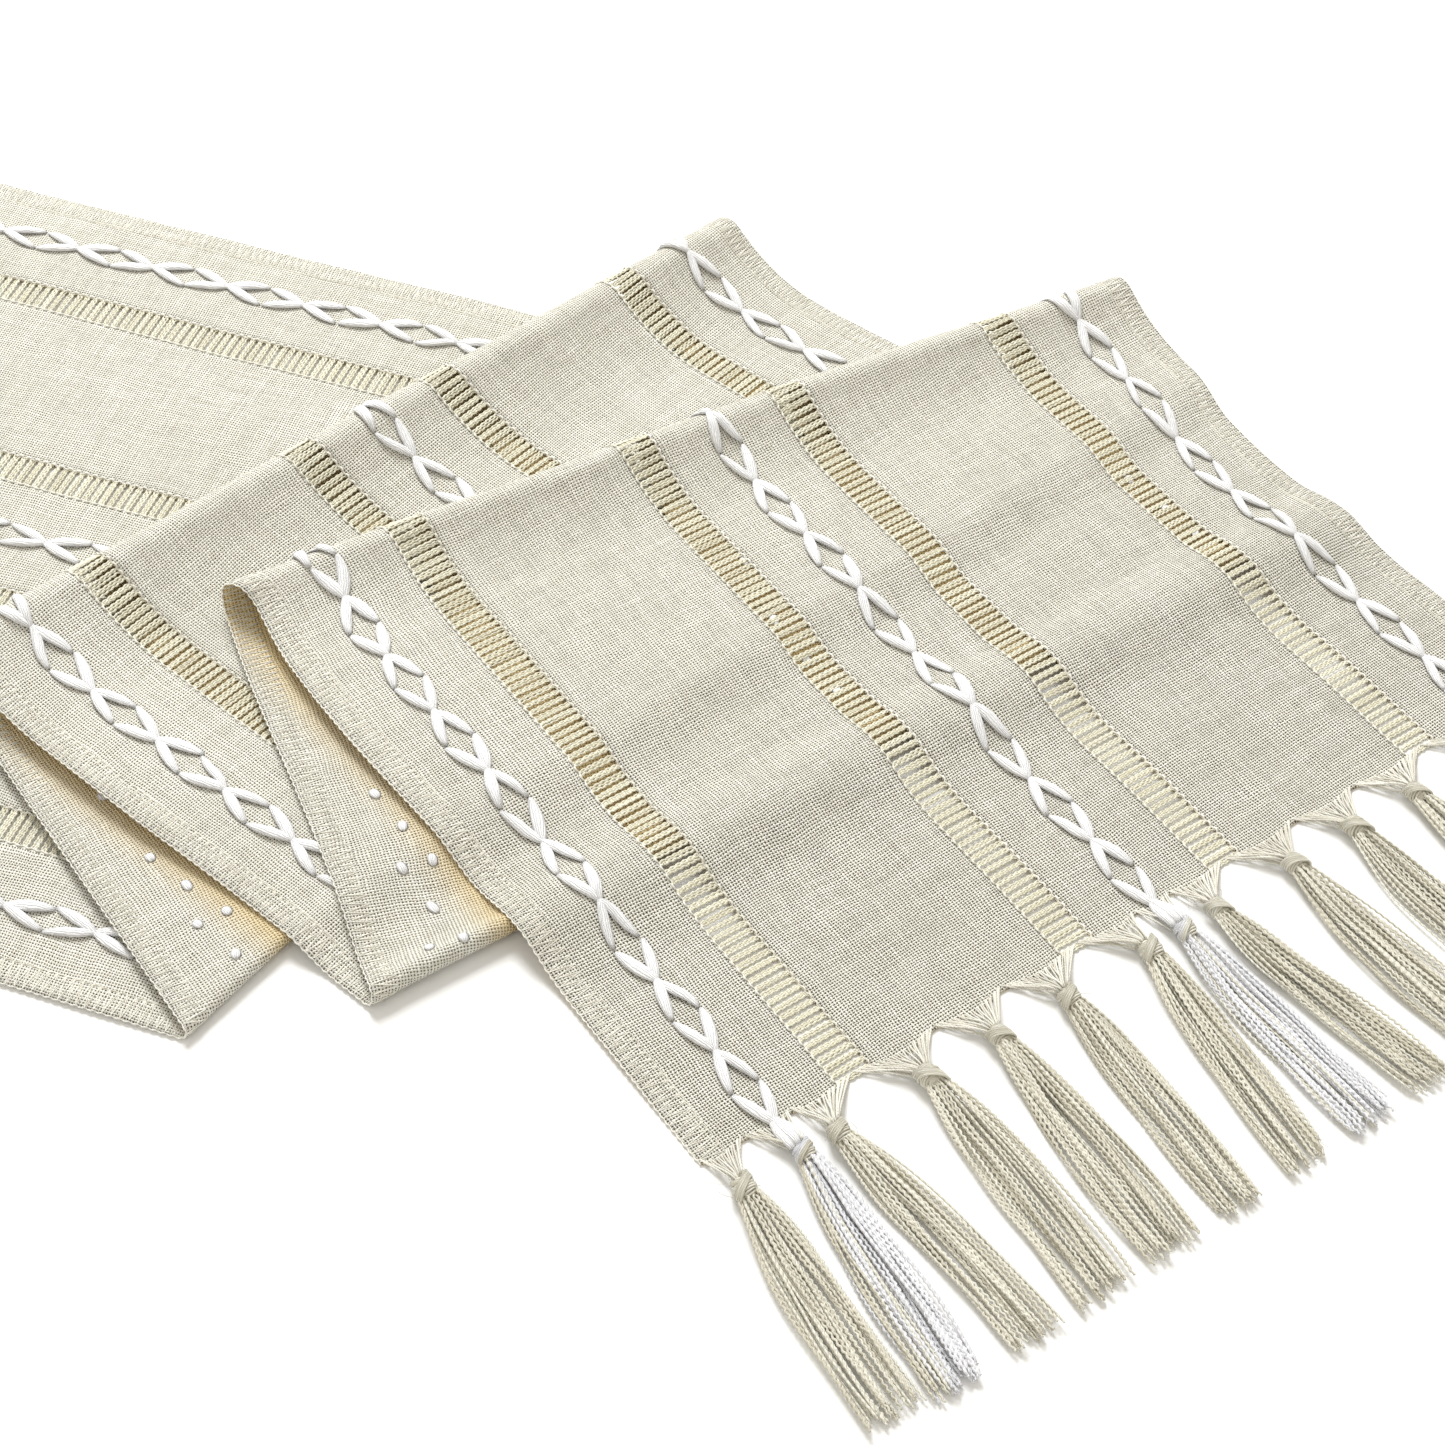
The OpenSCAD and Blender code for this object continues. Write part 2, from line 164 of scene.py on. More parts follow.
# the upper three layers rise here, behind the first bottom fold, to lie over the lower two
RISE_ANGLE = math.radians(5)
RISE_AT = (-205.0, 116.0)
RISE_DEPTH = 20.0
RISEN_FROM = -60.0  # cloth past this place, seen from the second crest, is at its full height everywhere

# how far the cloth has slid on the table
TIP_TOP, TIP_END, TIP_UNDER = 4.6, 5.5, 7.7  # left end of the first crest: above, at its end, below
TIP_FORWARDS, SLACK_FORWARDS = 6.0, 2.2
RIGHT_BOW, BOW_AT = 6.5, 122.0
THIRD_BOW, THIRD_FORWARDS, THIRD_AT = 6.0, 1.5, 520.0

# how far the layers above the two crests stand off at the left edge, and how that draws them in
GAPE1, GAPE2, GAPE_OPENS = 3.6, 4.2, 45.0
GAPE_DRAWS = (0.5, 0.7)
LOOSE = 0.16
FLAT_END = 40.0  # length at each end over which the looseness fades out


def outward(u, start):
    """0 up to start, growing to 1 at the long edge."""
    return np.maximum(0, (u - start) / (EDGE - start))


def sway(u, v):
    """How far the cloth has slid on the table at (u, v): the left end of the first crest droops forwards,
    the right edge of the first layer bows inwards, and so does the third layer behind the crest."""
    crest = past(u, v, CREST1)
    top = TIP_TOP * bell(crest, -60, 70) + TIP_END * bell(crest, 0, 9)
    under = TIP_UNDER * bell(crest, 0, 85)
    x = -outward(-u, OUTER) * np.where(crest < 0, top, under)
    x = x - RIGHT_BOW * outward(u, OUTER) * bell(v, BOW_AT, 48)
    droop, slack = outward(-u, INNER + LADDER), bell(u, -45, 60)
    y = -(TIP_FORWARDS * droop + SLACK_FORWARDS * slack) * bell(crest, 0, 45)
    third = outward(u, INNER + LADDER) * bell(v, THIRD_AT, 60)
    return x - THIRD_BOW * third, y - THIRD_FORWARDS * third


def gape(u, v):
    """How far the left edge of a layer stands off the layer below it, with which it shares a crest."""
    back1, back2 = -past(u, v, CREST1), -past(u, v, CREST2)
    first = GAPE1 * ramp(-u, 78, 72) * ramp(back1, 0, GAPE_OPENS) * (1 - ramp(back1, 60, 90))
    third = GAPE2 * ramp(-u, 104, 44) * ramp(back2, 0, GAPE_OPENS) * (1 - ramp(back2, 75, 80))
    return np.where(back1 > 0, first, third)


def settle(x, y, shown):
    """Slight looseness of the cloth: shared by all layers at one place, so that none cuts another."""
    waves = (
        np.sin(x / 23 + 1.3 + y / 61)
        + np.sin(y / 17 - x / 47 + 0.4)
        + np.sin(x / 41 - y / 29 + 2.1)
        + 0.5 * np.sin(x / 9.5 + y / 13 + 0.7)
        + 0.5 * np.sin(y / 8.3 - x / 14 + 4.0)
    )
    deepest = 4.0  # all five waves at their lowest, so that the cloth is only ever raised
    return shown * LOOSE * (deepest + waves)


def cloth_point(u, v, n):
    """Place in the frame, in millimetres, of cloth point (u, v) at height n above its middle."""
    u, v, n = np.broadcast_arrays(*(np.asarray(q, float) for q in (u, v, n)))
    p = (u, v, n)
    for fold in (BOTTOM2, CREST2, BOTTOM1, CREST1):
        p = folded(p, u, v, fold)
    x, y, z = p
    along = (y - RISE_AT[1]) * math.cos(RISE_ANGLE) - (x - RISE_AT[0]) * math.sin(RISE_ANGLE)
    risen = ramp(along, 0, RISE_DEPTH * math.cos(RISE_ANGLE))
    rise = np.where(past(u, v, CREST2) > RISEN_FROM, 1.0, risen)
    s = (y - HUMP_A[1]) * math.cos(HUMP_ANGLE) - (x - HUMP_A[0]) * math.sin(HUMP_ANGLE)
    lowered = (HALF - LAYER1) * (1 - ramp(s, *TO_TABLE))
    hump = RIGHT_GAP * ramp(s, *HUMP_UP) * (1 - ramp(s, *HUMP_DOWN))
    front = np.where(past(u, v, CREST1) > 0, 0.0, lowered + hump)
    flat_ends = ramp(v, FELL, FLAT_END) * ramp(LAST - v, 0, FLAT_END)
    slid_x, slid_y = sway(u, v)
    x, y = x + slid_x, y + slid_y
    open_by = gape(u, v)
    x, y = x - GAPE_DRAWS[0] * open_by, y - GAPE_DRAWS[1] * open_by
    z = z + LAYER1 + RISE * rise + front + open_by + settle(x, y, flat_ends)
    return np.stack([x, y - FACE_OFFSET, z], -1)


REAR = cloth_point([0, 100], [LENGTH, LENGTH], 0.0)
REAR_TURN = math.atan2(REAR[1, 1] - REAR[0, 1], REAR[1, 0] - REAR[0, 0])

# ---------------------------------------------------------------- meshes


def object_from(name, verts, faces, coords, material, body, slot, covers=()):
    """A piece from points in millimetres; coords are the thread coordinates that its material reads."""
    mesh = bpy.data.meshes.new(name)
    faces = np.asarray(faces, np.int32)
    a, b, c, d = (verts[faces[:, k]] for k in range(4))
    if (np.cross(a, b) * c).sum() + (np.cross(a, c) * d).sum() < 0:
        faces = np.ascontiguousarray(faces[:, ::-1])
    mesh.vertices.add(len(verts))
    mesh.vertices.foreach_set("co", (np.asarray(verts, np.float32) * MM).ravel())
    mesh.loops.add(faces.size)
    mesh.loops.foreach_set("vertex_index", faces.ravel())
    mesh.polygons.add(len(faces))
    mesh.polygons.foreach_set("loop_start", np.arange(0, faces.size, faces.shape[1], dtype=np.int32))
    mesh.polygons.foreach_set("use_smooth", np.ones(len(faces), bool))
    thread = mesh.attributes.new("thread", "FLOAT_VECTOR", "POINT")
    thread.data.foreach_set("vector", np.asarray(coords, np.float32).ravel())
    mesh.update(calc_edges=True)
    mesh.validate()
    mesh.materials.append(material)
    piece = bpy.data.objects.new(name, mesh)
    bpy.context.scene.collection.objects.link(piece)
    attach(piece, body)
    if covers:
        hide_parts(*covers)
    return piece


def join(parts):
    """Several (verts, faces, coords) as one."""
    verts, faces, coords, start = [], [], [], 0
    for v, f, c in parts:
        verts.append(v)
        faces.append(f + start)
        coords.append(c)
        start += len(v)
    return np.concatenate(verts), np.concatenate(faces), np.concatenate(coords)


def grid_faces(rows, columns, closed_columns=False):
    """Four-sided faces between the points of a grid, closed to a tube if its columns are."""
    i = np.arange(rows - 1)[:, None]
    j = np.arange(columns if closed_columns else columns - 1)[None, :]
    a = i * columns + j
    b = i * columns + (j + 1) % columns
    c = (i + 1) * columns + (j + 1) % columns
    d = (i + 1) * columns + j
    return np.stack([a, b, c, d], -1).reshape(-1, 4)


def tubes(paths, wide, high=None, sides=6, sideways=None, ident=0.0):
    """Closed threads along paths (count, points, 3). wide and high are half sizes of the cross-section.

    The thread coordinates are the length run, the turn round the thread and the thread's own number."""
    paths = np.asarray(paths, float)
    count, points, _ = paths.shape
    high = wide if high is None else high
    wide = np.broadcast_to(wide, (count, points))
    high = np.broadcast_to(high, (count, points))
    tangent = np.gradient(paths, axis=1)
    tangent /= np.linalg.norm(tangent, axis=2, keepdims=True) + 1e-12
    if sideways is None:
        sideways = np.cross(tangent, np.array([0.0, 0.0, 1.0]))
    sideways = sideways / (np.linalg.norm(sideways, axis=2, keepdims=True) + 1e-12)
    upward = np.cross(sideways, tangent)
    turn = np.arange(sides) * 2 * math.pi / sides
    ring = (
        sideways[:, :, None] * (wide[:, :, None, None] * np.cos(turn)[None, None, :, None])
        + upward[:, :, None] * (high[:, :, None, None] * np.sin(turn)[None, None, :, None])
    )
    verts = (paths[:, :, None] + ring).reshape(-1, 3)
    starts = (np.arange(count) * points * sides)[:, None, None]
    walls = grid_faces(points, sides, closed_columns=True)
    first = np.array([[j + 2, j + 1, j, 0] for j in range(1, sides - 2, 2)])
    caps = np.concatenate([first, (points - 1) * sides + first[:, ::-1]])
    faces = np.concatenate([(part[None] + starts).reshape(-1, 4) for part in (walls, caps)])
    steps = np.linalg.norm(np.diff(paths, axis=1), axis=2)
    run = np.concatenate([np.zeros((count, 1)), np.cumsum(steps, axis=1)], axis=1)
    ids = np.broadcast_to(np.asarray(ident, float).reshape(-1, 1, 1), (count, points, sides))
    coords = np.stack([
        np.broadcast_to(run[:, :, None], (count, points, sides)),
        np.broadcast_to(turn[None, None] / (2 * math.pi), (count, points, sides)),
        ids,
    ], -1).reshape(-1, 3)
    return verts, faces, coords


def on_cloth(part):
    """A part built at (u, v, n), carried on to the folded cloth."""
    verts, faces, coords = part
    return cloth_point(verts[:, 0], verts[:, 1], verts[:, 2]), faces, coords


TASSELS = 15
MIXED = {1: -LINE_U, 7: 0.0, 13: LINE_U}  # the tassels with white yarn, and the line of embroidery at each
LINE_PITCH, PANEL_PITCH, INWARD_PITCH, OUTWARD_PITCH = 12.5, 23.5, 11, 19
TIP_PITCH = 22.8
FIRST_TIP_IN = 5.0  # the first tassel leans outwards by this much less


def knot_u(i):
    """The knots stand in five groups of three: at each line of embroidery and between the lines."""
    group, k = i // 3, i % 3 - 1
    if group == 2:
        return LINE_PITCH * k
    if group in (1, 3):
        return (group - 2) * LINE_U / 2 + PANEL_PITCH * k
    side = -1 if group == 0 else 1
    return side * LINE_U + (OUTWARD_PITCH if k == side else INWARD_PITCH) * k


def tip_u(i):
    return (i - TASSELS // 2) * TIP_PITCH + (FIRST_TIP_IN if i == 0 else 0)


def knot_lanes():
    """The knots' places across the width, and the bounds of the warp ends that each draws in."""
    knots = np.array([knot_u(i) for i in range(TASSELS)])
    return knots, np.concatenate([[-EDGE], (knots[1:] + knots[:-1]) / 2, [EDGE]])


SCALLOP_FADE = 16.0


def scallop(u, v, side):
    """How far the end of the cloth is drawn towards the knots at width u."""
    knots, bounds = knot_lanes()
    lane = np.clip(np.searchsorted(bounds, u) - 1, 0, TASSELS - 1)
    knot, low, high = knots[lane], bounds[lane], bounds[lane + 1]
    near = np.clip(np.where(u < knot, (u - low) / (knot - low), (high - u) / (high - knot)), 0, 1)
    draw = 0.9 * near**1.3 - 1.2 * (1 - near) ** 2
    from_end = v - FELL if side < 0 else LAST - v
    return side * draw * (1 - ramp(from_end, 0, SCALLOP_FADE))


def scalloped(u, v):
    """Where the weft at v really lies, with both ends drawn into scallops."""
    return v + scallop(u, v, -1) + scallop(u, v, 1)


COLUMN_WIDTH = 3.2
FOLDS_FROM, FOLDS_TO = 60, 795  # the stretch with the four folds, which has the closest rows


def strip(name, u0, u1):
    """A woven strip with its own thickness, as a closed mesh."""
    columns = max(2, int(math.ceil((u1 - u0) / COLUMN_WIDTH)) + 1)
    us = np.linspace(u0, u1, columns)
    vs = np.concatenate([
        np.linspace(FELL, FOLDS_FROM, 40, endpoint=False),
        np.linspace(FOLDS_FROM, FOLDS_TO, 590, endpoint=False),
        np.linspace(FOLDS_TO, LAST - FLAT_END, 170, endpoint=False),
        np.linspace(LAST - FLAT_END, LAST, 34),
    ])
    grid_u, grid_v = np.meshgrid(us, vs)
    place_v = scalloped(grid_u, grid_v)
    top = cloth_point(grid_u, place_v, HALF).reshape(-1, 3)
    bottom = cloth_point(grid_u, place_v, -HALF).reshape(-1, 3)
    rows, total = len(vs), len(vs) * columns
    faces = grid_faces(rows, columns)
    rim = np.concatenate([
        np.arange(columns),
        np.arange(1, rows) * columns + columns - 1,
        (rows - 1) * columns + np.arange(columns - 2, -1, -1),
        np.arange(rows - 2, 0, -1) * columns,
    ])
    after = np.roll(rim, -1)
    walls = np.stack([rim, rim + total, after + total, after], -1)
    faces = np.concatenate([faces, faces[:, ::-1] + total, walls])
    right_side = np.stack([grid_u, place_v, np.zeros_like(grid_u)], -1).reshape(-1, 3)
    coords = np.concatenate([right_side, right_side + np.array([0, 0, 1.0])])
    verts = np.concatenate([top, bottom])
    return object_from(name + "_cloth", verts, faces, coords, LINEN, "cloth", "linen_cloth", [name])


rng = np.random.default_rng(7)

# ---------------------------------------------------------------- materials


class Weaver:
    """Short names for building one material's nodes. place holds a mesh's thread coordinates, and a, b and c
    are its three parts: u, v and the wrong side on cloth; length, turn and number on a thread."""

    def __init__(self, name, roughness, sheen, sheen_roughness=0.5):
        self.material = bpy.data.materials.new(name)
        self.material.use_nodes = True
        self.tree = self.material.node_tree
        self.shader = self.tree.nodes["Principled BSDF"]
        self.shader.inputs["Roughness"].default_value = roughness
        self.shader.inputs["Specular IOR Level"].default_value = 0.25
        self.shader.inputs["Sheen Weight"].default_value = sheen
        self.shader.inputs["Sheen Roughness"].default_value = sheen_roughness
        attribute = self.tree.nodes.new("ShaderNodeAttribute")
        attribute.attribute_name = "thread"
        split = self.tree.nodes.new("ShaderNodeSeparateXYZ")
        self.tree.links.new(attribute.outputs["Vector"], split.inputs[0])
        self.place = attribute.outputs["Vector"]
        self.a, self.b, self.c = split.outputs

    def put(self, socket, value):
        if isinstance(value, bpy.types.NodeSocket):
            self.tree.links.new(value, socket)
        else:
            socket.default_value = value

    def sum(self, operation, *values):
        node = self.tree.nodes.new("ShaderNodeMath")
        node.operation = operation
        for socket, value in zip(node.inputs, values):
            self.put(socket, value)
        return node.outputs[0]

    def around(self, value, size):
        """A value from 0 to 1 as one from -size / 2 to size / 2."""
        return self.sum("MULTIPLY", self.sum("SUBTRACT", value, 0.5), size)

    def vector(self, x, y, z):
        node = self.tree.nodes.new("ShaderNodeCombineXYZ")
        for socket, value in zip(node.inputs, (x, y, z)):
            self.put(socket, value)
        return node.outputs[0]

    def noise(self, at, scale, detail=2.0, roughness=0.5):
        node = self.tree.nodes.new("ShaderNodeTexNoise")
        node.inputs["Scale"].default_value = scale
        node.inputs["Detail"].default_value = detail
        node.inputs["Roughness"].default_value = roughness
        self.tree.links.new(at, node.inputs["Vector"])
        return node.outputs["Fac"]

    def random(self, at):
        node = self.tree.nodes.new("ShaderNodeTexWhiteNoise")
        node.noise_dimensions = "1D"
        self.put(node.inputs["W"], at)
        return node.outputs["Value"]

    def span(self, value, low, high, to_low=0.0, to_high=1.0, smooth=True):
        node = self.tree.nodes.new("ShaderNodeMapRange")
        node.interpolation_type = "SMOOTHSTEP" if smooth else "LINEAR"
        self.put(node.inputs[0], value)
        for k, x in enumerate((low, high, to_low, to_high)):
            self.put(node.inputs[k + 1], x)
        return node.outputs[0]

    def mix(self, share, one, two):
        node = self.tree.nodes.new("ShaderNodeMix")
        node.data_type = "RGBA"
        self.put(node.inputs[0], share)
        self.put(node.inputs[6], one)
        self.put(node.inputs[7], two)
        return node.outputs[2]

    def done(self, colour, height, distance, strength=1.0):
        self.tree.links.new(colour, self.shader.inputs["Base Color"])
        bump = self.tree.nodes.new("ShaderNodeBump")
        bump.inputs["Distance"].default_value = distance
        bump.inputs["Strength"].default_value = strength
        self.tree.links.new(height, bump.inputs["Height"])
        self.tree.links.new(bump.outputs["Normal"], self.shader.inputs["Normal"])
        return self.material


def srgb(r, g, b):
    """The linear colour of an 8-bit sRGB one."""
    return tuple(((c / 255 + 0.055) / 1.055) ** 2.4 if c > 10 else c / 3295 for c in (r, g, b)) + (1.0,)


WARP_PITCH, WEFT_PITCH = 0.94, 0.86


def woven_linen():
    """Plain weave, about one thread a millimetre, with slubs, uneven threads and pores painted dark as
    shade.
    """
    w = Weaver("linen_weave", 0.85, 0.15)

    def wander(at):
        """How far the threads stray from their straight places: a slow drift and a quick shake."""
        drift, shake = w.noise(at, 0.05, 2.0), w.noise(at, 0.9, 2.0)
        return w.sum("ADD", w.around(drift, 3.0), w.around(shake, 0.42))

    def fatness(index, position, seed):
        """The changing thickness of each thread along its length."""
        at = w.vector(w.sum("MULTIPLY", index, 3.7), w.sum("MULTIPLY", position, 0.07), seed)
        return w.noise(at, 1.0, 3.0)

    across = w.sum("DIVIDE", w.sum("ADD", w.a, wander(w.place)), WARP_PITCH)
    along = w.sum("DIVIDE", w.sum("ADD", w.b, wander(w.vector(w.b, w.a, 7.0))), WEFT_PITCH)
    warp_index, weft_index = w.sum("FLOOR", across), w.sum("FLOOR", along)
    warp_fat, weft_fat = fatness(warp_index, along, 0.0), fatness(weft_index, across, 5.0)

    def body(position, index, fat):
        """The round back of a thread, 1 along its middle and 0 at its sides."""
        off = w.sum("ABSOLUTE", w.sum("SUBTRACT", w.sum("SUBTRACT", position, index), 0.5))
        half = w.span(fat, 0.25, 0.75, 0.33, 0.46, smooth=False)
        share = w.sum("DIVIDE", off, half)
        return w.sum("SUBTRACT", 1.0, w.sum("MULTIPLY", share, share))

    def over(position, index, sign):
        """How high a thread lies as it passes over and under the threads that it crosses."""
        parity = w.around(w.sum("PINGPONG", index, 1.0), 2.0 * sign)
        wave = w.sum("SINE", w.sum("MULTIPLY", position, math.pi))
        return w.sum("MULTIPLY_ADD", w.sum("MULTIPLY", wave, parity), 0.42, 0.58)

    warp = w.sum("MULTIPLY", body(across, warp_index, warp_fat), over(along, warp_index, -1.0))
    weft = w.sum("MULTIPLY", body(along, weft_index, weft_fat), over(across, weft_index, 1.0))
    height = w.sum("MAXIMUM", w.sum("MAXIMUM", warp, weft), 0.0)
    weft_on_top = w.sum("GREATER_THAN", weft, warp)

    def own_tone(number, fat):
        return w.sum("MULTIPLY_ADD", w.random(number), 0.28, w.sum("MULTIPLY", fat, 0.5))

    warp_tone = own_tone(warp_index, warp_fat)
    weft_tone = own_tone(w.sum("ADD", weft_index, 900.0), weft_fat)
    tone = w.sum("ADD", w.sum("MULTIPLY", warp_tone, w.sum("SUBTRACT", 1.0, weft_on_top)),
                 w.sum("MULTIPLY", weft_tone, weft_on_top))
    fibre = w.noise(w.vector(w.sum("MULTIPLY", w.a, 5.0), w.sum("MULTIPLY", w.b, 5.0), w.c), 1.0, 3.0, 0.7)
    tone = w.sum("ADD", tone, w.around(fibre, 0.6))
    thread = w.mix(w.span(tone, 0.05, 0.75), srgb(230, 226, 211), srgb(255, 253, 243))
    patch = w.noise(w.place, 0.018, 2.0)
    thread = w.mix(w.span(patch, 0.35, 0.7, 0.0, 0.25), thread, srgb(230, 227, 212))
    wider_dark_pores = w.span(w.b, 40.0, 220.0, 0.09, 0.0)  # the painted dark pores grow a little towards the front fringe
    # painted shade: the pores between the threads are painted a dark brown
    pore = w.span(w.sum("SUBTRACT", height, wider_dark_pores), 0.09, 0.50)
    # painted light and shade: inside the folds the threads are painted a darker golden tone and the pores a
    # lighter golden one
    inside = painted_fold_light(w)
    thread = w.mix(inside, thread, srgb(236, 214, 163))
    shade = w.mix(inside, srgb(48, 42, 25), srgb(140, 112, 64))
    colour = w.mix(pore, shade, thread)
    relief = w.sum("ADD", height, w.sum("MULTIPLY", fibre, 0.35))
    return w.done(colour, relief, 0.00042, 0.9)


def painted_fold_light(w):
    """1 where the wrong side lies inside a fold, under the next layer, fading out just past its edge. Light
    reaches it only through the cloth and between the layers, so a golden tone of painted light and shade is
    laid on it there."""

    def depth_under(fold):
        """How far in from the long edge of the layer above, which is this one turned over at the fold."""
        from_fold = w.sum("MULTIPLY", w.sum("SUBTRACT", w.b, fold[0]), math.cos(fold[1]))
        beyond = w.sum("SUBTRACT", from_fold, w.sum("MULTIPLY", w.a, math.sin(fold[1])))
        turned = w.sum("MULTIPLY", beyond, 2 * math.sin(fold[1]))
        return w.sum("ADD", w.sum("ADD", w.a, EDGE), turned)

    second_fold = w.sum("GREATER_THAN", w.b, (BOTTOM1[0] + CREST2[0]) / 2)
    depth = w.sum("ADD", w.sum("MULTIPLY", depth_under(CREST1), w.sum("SUBTRACT", 1.0, second_fold)),
                  w.sum("MULTIPLY", depth_under(CREST2), second_fold))
    return w.sum("MULTIPLY", w.span(depth, -14.0, 2.0), w.c)


PLIES = 2.0
CREASE_SHADE = 0.74  # painted shade in the creases between the plies, as a share of the thread's dark tone


def spun_thread(name, dark, light, twist, depth):
    """Plied thread: slanting plies with painted shade in the creases between them, finer fibres inside each,
    and a tone of its own for each strand.
    """
    w = Weaver(name, 0.8, 0.12)
    turns = w.sum("ADD", w.sum("DIVIDE", w.a, twist), w.sum("MULTIPLY", w.b, PLIES))
    wobble = w.noise(w.vector(w.a, w.c, 0.0), 0.8, 2.0)
    turns = w.sum("ADD", turns, w.sum("MULTIPLY", wobble, 0.5))
    plies = w.sum("ABSOLUTE", w.sum("SINE", w.sum("MULTIPLY", turns, math.pi)))
    fibre = w.noise(w.vector(w.sum("MULTIPLY", w.a, 1.2), w.sum("MULTIPLY", w.b, 14.0), w.c), 1.0, 3.0, 0.7)
    own = w.random(w.c)
    tone = w.sum("ADD", w.sum("MULTIPLY", own, 0.45), w.sum("MULTIPLY", fibre, 0.6))
    light_side = w.mix(w.span(tone, 0.25, 0.85), dark, light)
    # the creases between the plies are painted darker: painted shade
    crease_shade = tuple(CREASE_SHADE * c for c in dark[:3]) + (1.0,)
    shade = w.mix(w.span(plies, 0.0, 0.5, 0.6, 1.0), crease_shade, light_side)
    height = w.sum("ADD", w.sum("MULTIPLY", plies, 0.8), w.sum("MULTIPLY", fibre, 0.4))
    return w.done(shade, height, depth)


def soft_yarn():
    """Thick white embroidery yarn: fine ridges along its length with painted shade in the grooves between
    them, and a faint bloom.
    """
    w = Weaver("white_yarn", 0.7, 0.25, 0.6)
    lanes = w.sum("ADD", w.sum("MULTIPLY", w.b, 13.0), w.sum("MULTIPLY", w.a, 0.10))
    wander = w.noise(w.vector(w.sum("MULTIPLY", w.a, 0.35), w.sum("MULTIPLY", w.b, 5.0), w.c), 1.0, 2.0)
    lanes = w.sum("ADD", lanes, w.sum("MULTIPLY", wander, 1.6))
    ridge = w.sum("ABSOLUTE", w.sum("SINE", w.sum("MULTIPLY", lanes, math.pi)))
    fibre = w.noise(w.vector(w.sum("MULTIPLY", w.a, 0.8), w.sum("MULTIPLY", w.b, 40.0), w.c), 1.0, 3.0, 0.7)
    # painted shade: the grooves between the ridges are painted a bluish grey
    colour = w.mix(w.span(ridge, 0.0, 0.55), srgb(226, 227, 233), srgb(255, 255, 255))
    colour = w.mix(w.sum("MULTIPLY", fibre, 0.2), colour, srgb(244, 244, 248))
    height = w.sum("ADD", w.sum("MULTIPLY", ridge, 0.7), w.sum("MULTIPLY", fibre, 0.5))
    return w.done(colour, height, 0.0003)


LINEN = woven_linen()
DRAWN = spun_thread("drawn_thread", srgb(226, 221, 199), srgb(248, 246, 228), 0.9, depth=0.00012)
WARP_ENDS = spun_thread("warp_ends", srgb(214, 210, 196), srgb(246, 244, 235), 1.15, depth=0.0001)
STITCH = spun_thread("stitch_thread", srgb(234, 231, 217), srgb(250, 248, 240), 0.8, depth=0.00008)
FRINGE = spun_thread("fringe_thread", srgb(212, 207, 189), srgb(245, 243, 231), 1.15, depth=0.0001)
WHITE_FRINGE = spun_thread("white_fringe", srgb(229, 230, 234), srgb(248, 248, 251), 1.15, depth=0.0001)
WHITE = soft_yarn()

# ---------------------------------------------------------------- woven strips, ladders and stitching
LADDER_SIDES = {
    "left_outer_ladder": (-OUTER - LADDER, -OUTER),
    "left_inner_ladder": (-INNER - LADDER, -INNER),
    "right_inner_ladder": (INNER, INNER + LADDER),
    "right_outer_ladder": (OUTER, OUTER + LADDER),
}
BUNDLE_PITCH = 2.85
BUNDLE_THREADS = (-0.70, 0.0, 0.70)
CRIMP = 1.02  # length of one bend where a thread passed over or under a warp
TIGHT_TO, EASES_OVER = 110, 70  # the bundles are drawn tighter in front of this place


def ladder(name, u0, u1):
    """Bundles of weft threads across a ladder, with a slit between each two."""
    count = int((LAST - FELL) / BUNDLE_PITCH)
    v = FELL + (np.arange(count)[:, None] + 0.5) * BUNDLE_PITCH + rng.normal(0, 0.07, (count, 1))
    t = np.linspace(0, 1, 27)
    arch = np.sin(math.pi * t)
    u = np.broadcast_to(u0 - 0.5 + (u1 - u0 + 1.0) * t, (count, len(t)))
    squeeze = (0.86 + 0.14 * arch**0.5) * (0.88 + 0.12 * ramp(v, TIGHT_TO, EASES_OVER))
    strands = []
    for off in BUNDLE_THREADS:
        lean = rng.normal(0, 0.10, (count, 1)) * (2 * t - 1)
        start = math.pi * rng.integers(0, 2, (count, 1)) + rng.normal(0, 0.4, (count, 1))
        crimp = math.pi * (u - u0) / CRIMP + start
        place = v + off * squeeze * (1 + rng.normal(0, 0.08, (count, 1))) + lean + 0.15 * np.sin(crimp)
        n = 0.16 * arch * (1 - abs(off)) + rng.normal(0, 0.05, (count, 1)) + 0.1 * np.cos(crimp)
        paths = np.stack([u, place, n], -1)
        wide = 0.37 * (1 + rng.normal(0, 0.08, (count, 1))) * (0.95 + 0.10 * np.cos(crimp + 0.8))
        strands.append(on_cloth(tubes(paths, wide, wide * 0.85, sides=4, ident=rng.random(count) * 50)))
    return object_from(name + "_rungs", *join(strands), DRAWN, "cloth", "drawn_thread", [name])


def rails(name):
    """The hemstitch thread along both sides of every ladder, with a small wrap at each bundle."""
    parts = []
    v = np.arange(FELL + 0.5, LAST, BUNDLE_PITCH / 6)
    beat = 2 * math.pi * (v - FELL) / BUNDLE_PITCH
    height = HALF + 0.12 + 0.14 * np.cos(beat)
    girth = (0.27 + 0.07 * np.cos(beat))[None]
    for u0, u1 in LADDER_SIDES.values():
        for u, inward in ((u0, 1), (u1, -1)):
            wavy = u - inward * (0.25 + 0.22 * np.cos(beat)) + rng.normal(0, 0.03, len(v))
            path = np.stack([wavy, v + 0.25 * np.sin(2 * beat), height], -1)[None]
            parts.append(on_cloth(tubes(path, girth, ident=[u])))
    return object_from(name, *join(parts), STITCH, "cloth", "edge_thread")


ZIGZAG_PITCH = 2.6


